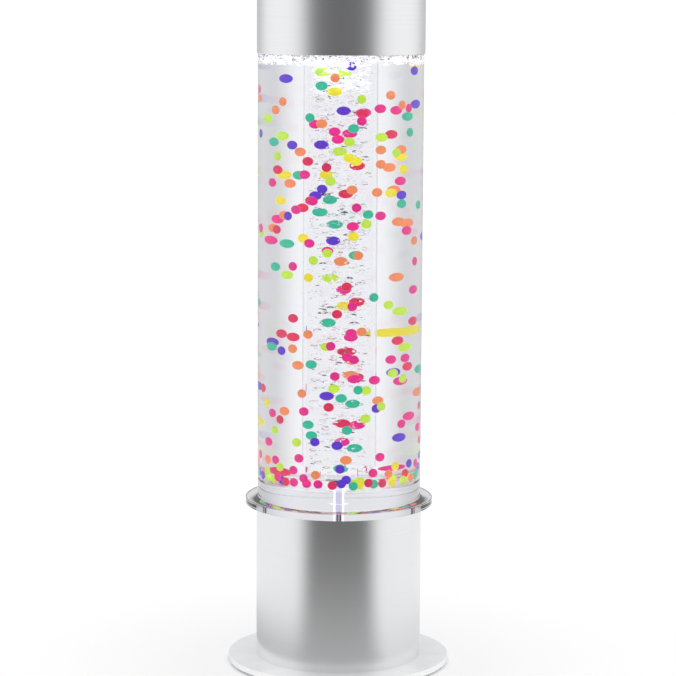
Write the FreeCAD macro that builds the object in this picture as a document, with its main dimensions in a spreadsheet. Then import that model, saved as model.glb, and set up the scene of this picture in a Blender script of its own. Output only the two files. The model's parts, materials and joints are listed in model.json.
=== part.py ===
import FreeCAD, Part
import math
import os
import random
import re

import Sketcher
from FreeCAD import Placement, Rotation, Vector

# Bubble tube floor lamp. +Z is up, the front faces -Y, and the origin is under the middle of the base.
# Millimetres, degrees and counts.

SIZES = {
    # foot
    "foot_pad_diameter": 14,
    "foot_pad_height": 2,
    "foot_pad_circle": 176,
    "foot_pad_count": 4,
    "foot_plate_diameter": 204,
    "foot_plate_thickness": 5,
    "edge_break": 0.4,
    "air_hole_diameter": 5,
    "air_hole_circle": 110,
    "air_hole_count": 8,
    # casing
    "casing_diameter": 152,
    "casing_wall": 1,
    "casing_height": 142.5,
    "lower_ring_height": 8,
    "lower_ring_width": 9,
    "upper_ring_height": 8,
    "upper_ring_width": 11,
    "bond_gap": 0.05,
    "cut_over": 1,
    "screw_diameter": 4,
    "screw_head_diameter": 7.6,
    "screw_head_height": 2.2,
    "foot_screw_count": 4,
    "foot_screw_bite": 6,
    "flange_screw_count": 6,
    "flange_screw_bite": 4.5,
    "screw_hole_spare": 0.5,
    "screw_gap": 0.05,
    # tank
    "flange_diameter": 172,
    "flange_thickness": 6,
    "floor_thickness": 18,
    "tube_diameter": 150,
    "tube_wall": 4,
    "tube_length": 466.5,
    "riser_diameter": 38,
    "riser_wall": 2,
    "riser_length": 381,
    "riser_window_height": 15,
    "riser_window_width": 22,
    "water_depth": 389.5,
    "water_gap": 0.3,
    # beads
    "bead_diameter": 8,
    "bead_spacing": 0.4,
    "bead_pile_width": 9,
    # cap
    "cap_wall": 0.7,
    "cap_gap": 0.3,
    "cap_height": 138,
    "cap_overlap": 60,
    "cap_edge_radius": 3,
    "cap_pad_thickness": 1.5,
    "cap_pad_width": 3,
    "cap_pad_length": 12,
    "cap_pad_count": 3,
    "seat_ring_thickness": 3,
    "seat_ring_width": 13,
    # nozzle
    "nozzle_diameter": 6.4,
    "nozzle_gap": 0.1,
    "nozzle_rise": 2,
    "nozzle_bore": 2.4,
    "nozzle_hex_width": 14,
    "nozzle_hex_height": 4.5,
    "washer_diameter": 12,
    "washer_thickness": 1,
    # light
    "led_board_diameter": 92,
    "led_board_hole": 24,
    "board_thickness": 1.6,
    "led_standoff_length": 10,
    "led_standoff_diameter": 7,
    "led_standoff_circle": 76,
    "led_standoff_count": 3,
    "led_width": 5,
    "led_height": 1.6,
    "led_circle": 38,
    "led_count": 8,
    # air line
    "hose_diameter": 6,
    "hose_bore": 4.1,
    "barb_diameter": 4,
    "barb_length": 11,
    "valve_diameter": 15,
    "valve_half_height": 7,
    "valve_wall": 1.5,
    "valve_flap_thickness": 0.8,
    "hose_end_gap": 0.5,
    "hose_between": 3,
    "hose_end_run": 17,
    # pump
    "pump_offset": -24,
    "pump_length": 88,
    "pump_width": 46,
    "pump_height": 34,
    "pump_wall": 2.5,
    "pump_lid_thickness": 3,
    "pump_pad_height": 5,
    "pump_pad_diameter": 10,
    "pump_pad_inset": 9,
    "pump_post_diameter": 7,
    "pump_post_sink": 1,
    "pump_screw_diameter": 3,
    "pump_screw_bite": 9,
    "pump_screw_head": 5.5,
    "pump_arm_rise": 14.5,
    "core_width": 26,
    "core_thickness": 14,
    "core_length": 24,
    "core_back": 6,
    "core_outer_leg": 4.5,
    "core_middle_leg": 7,
    "core_wall_gap": 1.5,
    "bobbin_wall": 0.8,
    "bobbin_flange": 1,
    "bobbin_length": 15,
    "bobbin_gap": 0.2,
    "winding_depth": 3.5,
    "magnet_gap": 1.5,
    "magnet_thickness": 6,
    "magnet_width": 16,
    "magnet_height": 12,
    "pivot_inset": 10,
    "pivot_diameter": 3,
    "pivot_gap": 0.05,
    "pivot_sleeve_diameter": 8,
    "pivot_sleeve_height": 11,
    "arm_thickness": 3,
    "arm_height": 6,
    "chamber_width": 24,
    "chamber_depth": 11.5,
    "chamber_x": 8,
    "cavity_diameter": 18,
    "cavity_depth": 5,
    "port_diameter": 2,
    "port_rise": 5,
    "port_depth": 2.5,
    "flap_diameter": 5,
    "flap_thickness": 0.6,
    "diaphragm_diameter": 23,
    "diaphragm_thickness": 1.2,
    "diaphragm_stud": 6,
    # control board
    "board_length": 70,
    "board_width": 34,
    "board_offset": 24,
    "board_standoff_height": 8,
    "board_standoff_diameter": 6,
    "board_standoff_inset": 4,
    "terminal_length": 8,
    "terminal_height": 9,
    "terminal_inset": 5,
    "terminal_entry": 4.4,
    "inlet_terminal_x": 6,
    "switch_terminal_x": -10,
    "chip_width": 14,
    "chip_height": 1.5,
    "chip_y": 22,
    "capacitor_diameter": 8,
    "capacitor_height": 11,
    "capacitor_y": 15.5,
    "capacitor_x": 13,
    "capacitor_spacing": 9,
    "relay_length": 16,
    "relay_width": 12,
    "relay_height": 10,
    "relay_x": 24,
    "relay_y": 32,
    # power inlet
    "inlet_rise": 17,
    "inlet_diameter": 11,
    "inlet_hole_gap": 0.2,
    "inlet_flange_diameter": 14,
    "inlet_flange_thickness": 1.5,
    "inlet_depth": 14,
    "inlet_bore": 5.5,
    "inlet_bore_depth": 10,
    "inlet_tail_diameter": 2.8,
    "inlet_pin_diameter": 2.1,
    "inlet_pin_length": 9,
    "inlet_nut_width": 16,
    "inlet_nut_thickness": 2.5,
    "inlet_nut_gap": 0.5,
    # switch
    "switch_rise": 53,
    "switch_frame_width": 15,
    "switch_frame_height": 22,
    "switch_frame_thickness": 2,
    "switch_body_width": 12.6,
    "switch_body_height": 19.6,
    "switch_body_depth": 14,
    "switch_wall": 0.75,
    "switch_floor": 2,
    "switch_hole_gap": 0.2,
    "rocker_gap": 0.4,
    "rocker_sink": 1,
    "rocker_reach": 3.4,
    "rocker_dip": 1,
    "rocker_half_height": 8,
    "rocker_back": 1.5,
    "rocker_tilt": 7,
    "rocker_pin_diameter": 2,
    "rocker_pin_gap": 0.08,
    "terminal_blade_width": 4.8,
    "terminal_blade_thickness": 0.8,
    "terminal_blade_length": 7,
    "terminal_blade_spacing": 9,
    # leads
    "lead_diameter": 2.2,
    "lead_start": 7,
    "lead_sway": 3,
    "led_lead_run": 25,
    "switch_lead_step": 3,
    "switch_lead_rise": 17.4,
    "pump_lead_inset": 14,
    "pump_lead_rise": 6.5,
    "pump_lead_step": 4.6,
}

PLACES = {
    "plate_bottom": "foot_pad_height",
    "casing_bottom": "plate_bottom + foot_plate_thickness",
    "casing_top": "casing_bottom + casing_height",
    "flange_top": "casing_top + flange_thickness",
    "floor_top": "flange_top + floor_thickness",
    "tube_top": "flange_top + tube_length",
    "riser_top": "floor_top + riser_length",
    "water_top": "floor_top + water_depth",
    "cap_bottom": "tube_top - cap_overlap",
    "cap_top": "cap_bottom + cap_height",
    "seat_bottom": "tube_top + cap_pad_thickness",
    "plate_radius": "foot_plate_diameter / 2",
    "casing_radius": "casing_diameter / 2",
    "casing_bore": "casing_radius - casing_wall",
    "ring_radius": "casing_bore - bond_gap",
    "lower_ring_top": "casing_bottom + lower_ring_height",
    "upper_ring_bottom": "casing_top - upper_ring_height",
    "foot_screw_radius": "ring_radius - lower_ring_width / 2",
    "flange_screw_radius": "ring_radius - upper_ring_width / 2",
    "tube_radius": "tube_diameter / 2",
    "tube_bore": "tube_radius - tube_wall",
    "riser_radius": "riser_diameter / 2",
    "riser_bore": "riser_radius - riser_wall",
    "cap_bore": "tube_radius + cap_gap",
    "cap_radius": "cap_bore + cap_wall",
    "nozzle_radius": "nozzle_diameter / 2",
    "nozzle_hole": "nozzle_radius + nozzle_gap",
    "washer_bottom": "casing_top - washer_thickness",
    "hex_bottom": "washer_bottom - nozzle_hex_height",
    "nozzle_barb_end": "hex_bottom - barb_length",
    "led_board_top": "casing_top - led_standoff_length",
    "led_board_bottom": "led_board_top - board_thickness",
    "pump_bottom": "casing_bottom + pump_pad_height",
    "pump_floor": "pump_bottom + pump_wall",
    "pump_rim": "pump_bottom + pump_height",
    "lid_top": "pump_rim + pump_lid_thickness",
    "arm_level": "pump_floor + pump_arm_rise",
    "post_x": "pump_length / 2 - pump_wall - pump_post_diameter / 2 + pump_post_sink",
    "post_y": "pump_width / 2 - pump_wall - pump_post_diameter / 2 + pump_post_sink",
    "pump_lead_x": "pump_lead_inset - pump_length / 2",
    "core_x": "core_wall_gap + pump_wall - pump_length / 2",
    "pole_x": "core_x + core_length",
    "magnet_x": "pole_x + magnet_gap",
    "arm_x": "magnet_x + magnet_thickness",
    "pivot_x": "pump_length / 2 - pivot_inset",
    "sleeve_bottom": "arm_level - pivot_sleeve_height / 2",
    "wall_y": "pump_offset + pump_width / 2 - pump_wall",
    "chamber_y": "wall_y - chamber_depth",
    "cavity_y": "chamber_y + cavity_depth",
    "port_y": "cavity_y + port_depth",
    "nipple_top": "lid_top + barb_length",
    "valve_barb_end": "nipple_top + hose_between",
    "valve_bottom": "valve_barb_end + barb_length",
    "valve_middle": "valve_bottom + valve_half_height",
    "valve_top": "valve_middle + valve_half_height",
    "valve_far_end": "valve_top + barb_length",
    "board_bottom": "casing_bottom + board_standoff_height",
    "board_top": "board_bottom + board_thickness",
    "terminal_top": "board_top + terminal_height",
    "terminal_y": "board_offset + board_width / 2 - terminal_inset",
    "terminal_near_y": "board_offset - board_width / 2 + terminal_inset",
    "terminal_x": "terminal_inset - board_length / 2",
    "terminal_back": "terminal_y + terminal_length / 2",
    "inlet_terminal_level": "board_top + terminal_entry",
    "inlet_level": "casing_bottom + inlet_rise",
    "inlet_back": "casing_radius - inlet_depth",
    "inlet_face": "casing_radius + inlet_flange_thickness",
    "inlet_bore_back": "inlet_face - inlet_bore_depth",
    "nut_y": "casing_bore - inlet_nut_gap - inlet_nut_thickness",
    "switch_level": "casing_bottom + switch_rise",
    "switch_back": "casing_radius - switch_body_depth",
    "rocker_y": "casing_radius - rocker_sink",
    "rocker_width": "switch_body_width - 2 * switch_wall - 2 * rocker_gap",
    "rocker_pin_length": "switch_body_width - 2 * switch_hole_gap",
}

BEAD_COLOURS = {"pink": 68, "red": 36, "orange": 44, "yellow": 22, "lime": 40, "teal": 36, "violet": 34}
BEAD_SEED = 11
PILE_ARC = 190
FRONT_ARC = 235

ALONG = {
    "x": Rotation(Vector(0, 1, 0), 90),
    "y": Rotation(Vector(1, 0, 0), -90),
    "z": Rotation(),
}
FULL_TURN = 360

document = FreeCAD.newDocument("bubble_tube_lamp")
sheet = document.addObject("Spreadsheet::Sheet", "Sizes")
for row, (word, size) in enumerate(SIZES.items(), start=1):
    sheet.set(f"A{row}", str(size))
    sheet.setAlias(f"A{row}", word)
document.recompute()
places = document.addObject("App::FeaturePython", "Places")
pieces = []


def formula(text):
    """Put the owner's name before each size or place in the text."""
    def owned(word):
        if word.group() in SIZES:
            return "Sizes." + word.group()
        if word.group() in PLACES:
            return "Places." + word.group()
        return word.group()
    return re.sub(r"[a-z]\w*", owned, str(text))


def value(text):
    return float(places.evalExpression(formula(text)))


for word, text in PLACES.items():
    places.addProperty("App::PropertyFloat", word)
    places.setExpression(word, formula(text))
    document.recompute()


# Building blocks: every length and position is a formula of the sizes.

def bind(thing, **formulas):
    for name, text in formulas.items():
        thing.setExpression(name, formula(text))
    return thing


def place(thing, x="0", y="0", z="0", along="z", turn="0"):
    """Point the thing's own z axis along an axis, or turn it about z, then move it to x, y, z."""
    thing.Placement = Placement(Vector(), ALONG[along])
    if turn != "0":
        thing.setExpression(".Placement.Rotation.Angle", formula(turn))
    for axis, text in zip("xyz", (x, y, z)):
        thing.setExpression(".Placement.Base." + axis, formula(text))
    return thing


def rod(diameter, length, x="0", y="0", z="0", along="z"):
    thing = document.addObject("Part::Cylinder", "rod")
    bind(thing, Radius=f"({diameter}) / 2", Height=length)
    return place(thing, x, y, z, along)


def block(length, width, height, x="0", y="0", z="0"):
    """A box centred on x and y, standing on z."""
    thing = document.addObject("Part::Box", "block")
    bind(thing, Length=length, Width=width, Height=height)
    return place(thing, f"{x} - ({length}) / 2", f"{y} - ({width}) / 2", z)


def hexagon(width, height, x="0", y="0", z="0", along="z"):
    thing = document.addObject("Part::Prism", "hexagon")
    thing.Polygon = 6
    bind(thing, Circumradius=f"({width}) / 2", Height=height)
    return place(thing, x, y, z, along)


def cut(base, *tools):
    thing = document.addObject("Part::Cut", "cut")
    thing.Base = base
    thing.Tool = tools[0] if len(tools) == 1 else group(tools)
    return thing


def fuse(*parts):
    thing = document.addObject("Part::MultiFuse", "fuse")
    thing.Shapes = list(parts)
    return thing


def group(parts):
    thing = document.addObject("Part::Compound", "group")
    thing.Links = list(parts)
    return thing


def outlined(body, role, corners):
    """A closed sketch through the corners, on one of the body's own planes."""
    sketch = body.newObject("Sketcher::SketchObject", "outline")
    plane = next(face for face in body.Origin.OriginFeatures if face.Role == role)
    sketch.AttachmentSupport = [(plane, "")]
    sketch.MapMode = "FlatFace"
    spots = [Vector(value(across), value(up), 0) for across, up in corners]
    for here, after in zip(spots, spots[1:] + spots[:1]):
        sketch.addGeometry(Part.LineSegment(here, after), False)
    for number in range(len(corners)):
        sketch.addConstraint(Sketcher.Constraint("Coincident", number, 2, (number + 1) % len(corners), 1))
    for number, (across, up) in enumerate(corners):
        for kind, text in (("DistanceX", across), ("DistanceY", up)):
            index = sketch.addConstraint(Sketcher.Constraint(kind, -1, 1, number, 1, value(text)))
            sketch.setExpression(f"Constraints[{index}]", formula(text))
    return sketch


def turned(outline, x="0", y="0", z="0", along="z"):
    """A body turned about its own z axis: the outline is corners of (radius, level)."""
    body = document.addObject("PartDesign::Body", "turned")
    sketch = outlined(body, "XZ_Plane", outline)
    revolution = body.newObject("PartDesign::Revolution", "revolution")
    revolution.Profile = sketch
    revolution.ReferenceAxis = (sketch, ["V_Axis"])
    revolution.Angle = FULL_TURN
    document.recompute()
    return place(body, x, y, z, along)


def round_edge(body, radius, level, fillet):
    """Round the circular edge of that radius at that level, by a fillet of its own."""
    document.recompute()
    base = body.Tip
    edge = next(
        f"Edge{number}" for number, edge in enumerate(base.Shape.Edges, start=1)
        if isinstance(edge.Curve, Part.Circle)
        and abs(edge.Curve.Radius - value(radius)) < 1e-6
        and abs(edge.Curve.Center.z - value(level)) < 1e-6
    )
    rounded = body.newObject("PartDesign::Fillet", "rounded")
    rounded.Base = (base, [edge])
    rounded.setExpression("Radius", formula(fillet))
    body.Tip = rounded
    document.recompute()


def pipe(outer, inner, bottom, top):
    """A turned tube with plain square ends."""
    return turned([(inner, bottom), (outer, bottom), (outer, top), (inner, top)])


def disc(radius, bottom, top):
    """A turned plate whose rim has broken edges."""
    return turned([
        ("0", bottom),
        (f"{radius} - edge_break", bottom),
        (radius, f"{bottom} + edge_break"),
        (radius, f"{top} - edge_break"),
        (f"{radius} - edge_break", top),
        ("0", top),
    ])


def copies(thing, spots):
    """Copies of one thing, each at (x, y, z, turn)."""
    made = []
    for x, y, z, turn in spots:
        link = document.addObject("App::Link", "copy")
        link.LinkedObject = thing
        made.append(place(link, x, y, z, "z", turn))
    return made


def circle_of(count, radius, level, first=0):
    """Evenly spaced spots on a circle, each turned to face outwards."""
    step = FULL_TURN / SIZES[count]
    angles = [first + step * number for number in range(SIZES[count])]
    return [
        (f"({radius}) * cos({angle})", f"({radius}) * sin({angle})", level, str(angle))
        for angle in angles
    ]


def corners_of(x, y, middle_x, middle_y, level):
    """The four corners of a rectangle about a middle point."""
    signs = ((1, 1), (-1, 1), (-1, -1), (1, -1))
    return [(f"{middle_x} + {a} * ({x})", f"{middle_y} + {b} * ({y})", level, "0") for a, b in signs]


def piece(label, thing):
    thing.Label = label
    pieces.append(thing)


def route(points):
    """Straight runs joined by tangent arcs, each as large as its two runs allow, through the points."""
    points = [Vector(*(value(text) for text in point)) for point in points]
    edges = []
    start = points[0]
    for before, corner, after in zip(points, points[1:], points[2:]):
        back = (before - corner).normalize()
        ahead = (after - corner).normalize()
        reach = 0.45 * min(before.distanceToPoint(corner), corner.distanceToPoint(after))
        half_turn = (math.pi - back.getAngle(ahead)) / 2
        radius = reach / math.tan(half_turn)
        inwards = (back + ahead).normalize()
        middle = corner + inwards * radius * (1 / math.cos(half_turn) - 1)
        edges.append(Part.LineSegment(start, corner + back * reach).toShape())
        edges.append(Part.Arc(corner + back * reach, middle, corner + ahead * reach).toShape())
        start = corner + ahead * reach
        print(f"  bend radius {radius:.1f}")
    edges.append(Part.LineSegment(start, points[-1]).toShape())
    return Part.Wire(edges)


def swept(label, points, diameter, bore=None):
    """A round lead, or a hose where it has a bore, along a route."""
    print(label)
    path = route(points)
    start = path.Edges[0].valueAt(path.Edges[0].FirstParameter)
    ahead = path.Edges[0].tangentAt(path.Edges[0].FirstParameter)

    def solid(width):
        ring = Part.Wire([Part.makeCircle(value(width) / 2, start, ahead)])
        return path.makePipeShell([ring], True, False)

    shape = solid(diameter)
    section = math.pi * value(diameter) ** 2 / 4
    if bore:
        shape = shape.cut(solid(bore))
        section -= math.pi * value(bore) ** 2 / 4
    print(f"  volume {shape.Volume:.1f}, section times length {section * path.Length:.1f}")
    feature = document.addObject("Part::Feature", "swept")
    feature.Shape = shape
    piece(label, feature)


# Foot

def make_foot():
    pad = rod("foot_pad_diameter", "foot_pad_height")
    pads = circle_of("foot_pad_count", "foot_pad_circle / 2", "0", first=45)
    piece("rubber_feet", group(copies(pad, pads)))

    head = turned([
        ("0", "0"),
        ("screw_head_diameter / 2", "0"),
        ("screw_diameter / 2", "screw_head_height"),
        ("screw_diameter / 2", "foot_plate_thickness + foot_screw_bite"),
        ("0", "foot_plate_thickness + foot_screw_bite"),
    ])
    spots = circle_of("foot_screw_count", "foot_screw_radius", "plate_bottom", first=45)
    piece("foot_screws", group(copies(head, spots)))

    sink = turned([
        ("0", "0 - cut_over"),
        ("screw_head_diameter / 2 + cut_over", "0 - cut_over"),
        ("screw_diameter / 2 + screw_gap", "screw_head_height + screw_gap"),
        ("screw_diameter / 2 + screw_gap", "foot_plate_thickness + foot_screw_bite + screw_hole_spare"),
        ("0", "foot_plate_thickness + foot_screw_bite + screw_hole_spare"),
    ])
    hole = rod("air_hole_diameter", "foot_plate_thickness + 2 * cut_over")
    air = circle_of("air_hole_count", "air_hole_circle / 2", "plate_bottom - cut_over", first=22.5)
    plate = disc("plate_radius", "plate_bottom", "casing_bottom")
    piece("foot_plate", cut(plate, *copies(sink, spots), *copies(hole, air)))

    ring = pipe("ring_radius", "ring_radius - lower_ring_width", "casing_bottom", "lower_ring_top")
    piece("lower_ring", cut(ring, *copies(sink, spots)))


# Casing, with its round inlet hole and its square switch hole at the back

def make_casing():
    wall = pipe("casing_radius", "casing_bore", "casing_bottom", "casing_top")
    inlet = rod(
        "inlet_diameter + 2 * inlet_hole_gap",
        "casing_radius",
        "0",
        "casing_radius / 2",
        "inlet_level",
        "y",
    )
    switch = block(
        "switch_body_width + 2 * switch_hole_gap",
        "casing_radius",
        "switch_body_height + 2 * switch_hole_gap",
        y="casing_radius",
        z="switch_level - switch_body_height / 2 - switch_hole_gap",
    )
    piece("casing", cut(wall, inlet, switch))

    screw = turned([
        ("0", "0 - screw_head_height"),
        ("screw_head_diameter / 2", "0 - screw_head_height"),
        ("screw_head_diameter / 2", "0"),
        ("screw_diameter / 2", "0"),
        ("screw_diameter / 2", "upper_ring_height + flange_screw_bite"),
        ("0", "upper_ring_height + flange_screw_bite"),
    ])
    spots = circle_of("flange_screw_count", "flange_screw_radius", "upper_ring_bottom", first=30)
    piece("flange_screws", group(copies(screw, spots)))

    hole = rod("screw_diameter + 2 * screw_gap", "upper_ring_height + flange_screw_bite + screw_hole_spare")
    ring = pipe("ring_radius", "ring_radius - upper_ring_width", "upper_ring_bottom", "casing_top")
    piece("upper_ring", cut(ring, *copies(hole, spots)))

    flange = disc("flange_diameter / 2", "casing_top", "flange_top")
    middle = rod("2 * nozzle_hole", "flange_thickness + 2 * cut_over", z="casing_top - cut_over")
    piece("flange", cut(flange, middle, *copies(hole, spots)))


# Tank

def make_tank():
    piece("tank_floor", pipe("tube_bore - bond_gap", "nozzle_hole", "flange_top", "floor_top"))
    piece("outer_tube", pipe("tube_radius", "tube_bore", "flange_top", "tube_top"))

    riser = pipe("riser_radius", "riser_bore", "floor_top", "riser_top")
    window = ("riser_window_width", "riser_diameter + 2 * cut_over", "riser_window_height + cut_over")
    across = block(*window, z="floor_top - cut_over")
    along = place(
        block(*window),
        "(riser_diameter + 2 * cut_over) / 2",
        "0 - riser_window_width / 2",
        "floor_top - cut_over",
        turn="90",
    )
    piece("riser_tube", cut(riser, across, along))

    piece("water", turned([
        ("0", "floor_top + nozzle_rise + water_gap"),
        ("nozzle_hole + water_gap", "floor_top + nozzle_rise + water_gap"),
        ("nozzle_hole + water_gap", "floor_top + water_gap"),
        ("riser_bore - water_gap", "floor_top + water_gap"),
        ("riser_bore - water_gap", "riser_top + water_gap"),
        ("riser_radius + water_gap", "riser_top + water_gap"),
        ("riser_radius + water_gap", "floor_top + water_gap"),
        ("tube_bore - water_gap", "floor_top + water_gap"),
        ("tube_bore - water_gap", "water_top"),
        ("0", "water_top"),
    ]))


# Beads: each zone of the water holds a share of them, and no two touch

def bead_zones():
    """Share of the beads, least and most radius, lowest and highest level, and the arc about the front."""
    bead = value("bead_diameter") / 2
    inner = value("riser_bore - water_gap") - bead
    outside = value("riser_radius + water_gap") + bead
    wall = value("tube_bore - water_gap") - bead
    between = (outside + wall) / 2
    pile = wall - value("bead_pile_width")
    floor = value("floor_top + water_gap") + bead
    over_nozzle = value("floor_top + nozzle_rise + water_gap") + bead
    top = value("water_top") - bead

    def level(share):
        return floor + share * (top - floor)

    return [
        (0.118, pile, wall, floor, floor + bead / 4, PILE_ARC),
        (0.02, outside, wall, floor, floor + bead / 4, FULL_TURN),
        (0.05, pile, wall, level(0.02), level(0.05), PILE_ARC),
        (0.12, 0, inner, over_nozzle + bead, top - bead, FULL_TURN),
        (0.1, outside, wall, level(0.05), level(0.19), FRONT_ARC),
        (0.08, outside, between, level(0.18), level(0.36), FRONT_ARC),
        (0.07, outside, wall, level(0.19), level(0.36), FULL_TURN),
        (0.09, outside, wall, level(0.36), level(0.56), FRONT_ARC),
        (0.17, outside, between, level(0.55), level(0.9), FRONT_ARC),
        (0.18, outside, wall, level(0.56), top - bead, FRONT_ARC),
    ]


def bead_middles():
    """Middles of the beads. Each starts at its own level in its zone and climbs until it touches no other."""
    apart = value("bead_diameter + bead_spacing")
    climb = apart / 200
    total = sum(BEAD_COLOURS.values())
    middles = []
    for zone, (share, least, most, lowest, highest, arc) in enumerate(bead_zones()):
        count = round(share * total)
        for number in range(count):
            draw = random.Random(f"{BEAD_SEED} {zone} {number}")
            level = lowest + (highest - lowest) * (number + draw.random()) / count
            while True:
                angle = math.radians(draw.uniform(-arc, arc) / 2 - 90)
                radius = math.sqrt(draw.uniform(least ** 2, most ** 2))
                spot = Vector(radius * math.cos(angle), radius * math.sin(angle), level)
                if all(spot.distanceToPoint(other) > apart for other in middles):
                    break
                level += climb
            middles.append(spot)
    return middles


def make_beads():
    middles = bead_middles()
    print("beads", len(middles))
    random.Random(BEAD_SEED).shuffle(middles)
    for colour, count in BEAD_COLOURS.items():
        mine, middles = middles[:count], middles[count:]
        beads = [Part.makeSphere(value("bead_diameter") / 2, spot) for spot in mine]
        feature = document.addObject("Part::Feature", "beads")
        feature.Shape = Part.makeCompound(beads)
        piece("beads_" + colour, feature)


# Cap: a closed silver shell whose ring rests on the tube's rim through three pads

def make_cap():
    shell = turned([
        ("cap_bore", "cap_bottom"),
        ("cap_radius", "cap_bottom"),
        ("cap_radius", "cap_top"),
        ("0", "cap_top"),
        ("0", "cap_top - cap_wall"),
        ("cap_bore", "cap_top - cap_wall"),
    ])
    round_edge(shell, "cap_bore", "cap_top - cap_wall", "cap_edge_radius - cap_wall")
    round_edge(shell, "cap_radius", "cap_top", "cap_edge_radius")
    piece("cap_shell", shell)
    piece("cap_seat_ring", pipe(
        "cap_bore - bond_gap",
        "cap_bore - seat_ring_width",
        "seat_bottom",
        "seat_bottom + seat_ring_thickness",
    ))
    pad = block("cap_pad_width", "cap_pad_length", "cap_pad_thickness")
    carrier = group([pad])
    spots = circle_of("cap_pad_count", "tube_radius - tube_wall / 2", "tube_top", first=90)
    piece("cap_pads", group(copies(carrier, spots)))


# Nozzle, screwed up into the tank's floor from below

def make_nozzle():
    stem = turned([
        ("nozzle_bore / 2", "nozzle_barb_end"),
        ("barb_diameter / 2", "nozzle_barb_end"),
        ("barb_diameter / 2", "hex_bottom"),
        ("nozzle_radius", "hex_bottom"),
        ("nozzle_radius", "floor_top + nozzle_rise"),
        ("nozzle_bore / 2", "floor_top + nozzle_rise"),
    ])
    collar = cut(
        hexagon("nozzle_hex_width", "nozzle_hex_height", z="hex_bottom"),
        rod("nozzle_diameter", "nozzle_hex_height", z="hex_bottom"),
    )
    piece("air_nozzle", fuse(stem, collar))
    piece("nozzle_washer", pipe("washer_diameter / 2", "nozzle_hole", "washer_bottom", "casing_top"))


# Light: a ring of light-emitting diodes under the flange

def make_light():
    board = pipe("led_board_diameter / 2", "led_board_hole / 2", "led_board_bottom", "led_board_top")
    piece("led_board", board)
    emitter = group([block("led_width", "led_width", "led_height")])
    piece("led_emitters", group(copies(emitter, circle_of("led_count", "led_circle / 2", "led_board_top"))))
    post = rod("led_standoff_diameter", "led_standoff_length")
    posts = circle_of("led_standoff_count", "led_standoff_circle / 2", "led_board_top", first=90)
    piece("led_standoffs", group(copies(post, posts)))


# Air line: a hose from the pump to a check valve, and one from the valve to the nozzle

def make_air_line():
    valve_spot = {"x": "chamber_x", "y": "port_y"}
    rim = "valve_diameter / 2"
    pocket = "valve_diameter / 2 - valve_wall"
    flap = "valve_flap_thickness / 2"
    piece("check_valve_inlet", turned([
        ("nozzle_bore / 2", "valve_barb_end"),
        ("barb_diameter / 2", "valve_barb_end"),
        ("barb_diameter / 2", "valve_bottom"),
        (rim, "valve_bottom"),
        (rim, "valve_middle"),
        (pocket, "valve_middle"),
        (pocket, f"valve_middle - {flap}"),
        ("nozzle_bore / 2", f"valve_middle - {flap}"),
    ], **valve_spot))
    piece("check_valve_outlet", turned([
        ("nozzle_bore / 2", f"valve_middle + {flap} + valve_wall"),
        (pocket, f"valve_middle + {flap} + valve_wall"),
        (pocket, "valve_middle"),
        (rim, "valve_middle"),
        (rim, "valve_top"),
        ("barb_diameter / 2", "valve_top"),
        ("barb_diameter / 2", "valve_far_end"),
        ("nozzle_bore / 2", "valve_far_end"),
    ], **valve_spot))
    piece("check_valve_flap", rod(
        "valve_diameter - 2 * valve_wall - 2 * bond_gap",
        "valve_flap_thickness",
        "chamber_x",
        "port_y",
        f"valve_middle - {flap}",
    ))
    swept("hose_lower", [
        ("chamber_x", "port_y", "lid_top + hose_end_gap"),
        ("chamber_x", "port_y", "valve_bottom - hose_end_gap"),
    ], "hose_diameter", "hose_bore")
    swept("hose_upper", [
        ("chamber_x", "port_y", "valve_top + hose_end_gap"),
        ("chamber_x", "port_y", "valve_top + hose_end_run"),
        ("0", "0", "hex_bottom - hose_end_run - hose_between"),
        ("0", "0", "hex_bottom - hose_end_gap"),
    ], "hose_diameter", "hose_bore")


# Pump: a coil and an iron core rock an arm with a magnet, which works a rubber diaphragm

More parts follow.
